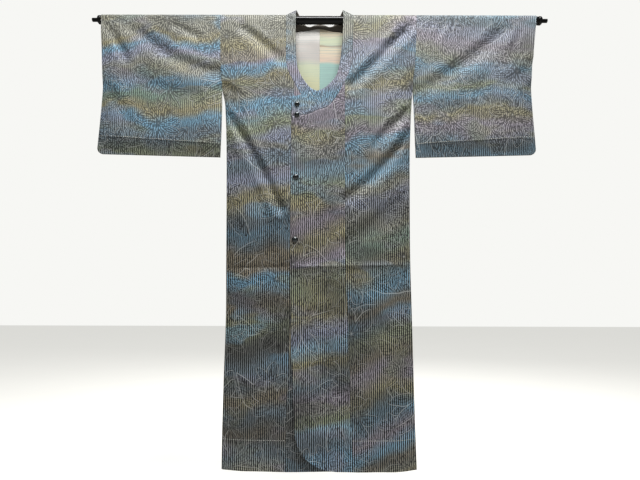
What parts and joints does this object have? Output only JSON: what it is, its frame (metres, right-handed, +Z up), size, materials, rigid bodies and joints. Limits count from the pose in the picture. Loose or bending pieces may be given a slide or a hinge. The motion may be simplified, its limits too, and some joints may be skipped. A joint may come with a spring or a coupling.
{
  "type": "kimono coat on a hanger rod",
  "caption": "Long kimono coat with a framed collar and snap-closed overlapping front, hung flat on a rod that runs through both sleeves.",
  "frame": {"origin": "middle of the hanger rod's axis, where the rod is held up", "axes": "+Z up, -Y the coat's front, +X towards the wearer's left along the rod"},
  "size_m": [1.408, 0.0502, 1.3627],
  "materials": {
    "cloth": "fine vertical ribs with soft colour bands and line-drawn flowers, silky sheen",
    "lining": "smooth pale silk with soft colour bands",
    "snap": "polished dark dome",
    "rod": "satin black",
    "rod_end": "satin black moulding"
  },
  "bodies": {
    "root": {"body_right": "cloth", "body_left": "cloth", "sleeve_right": "cloth", "sleeve_left": "cloth", "overlap_right": "cloth", "overlap_left": "cloth", "collar": "cloth", "lining_right": "lining", "lining_left": "lining", "snap_button_1": "snap", "snap_button_2": "snap", "snap_button_3": "snap", "snap_button_4": "snap", "rod": "rod", "rod_end_right": "rod_end", "rod_end_left": "rod_end"}
  },
  "joints": []
}
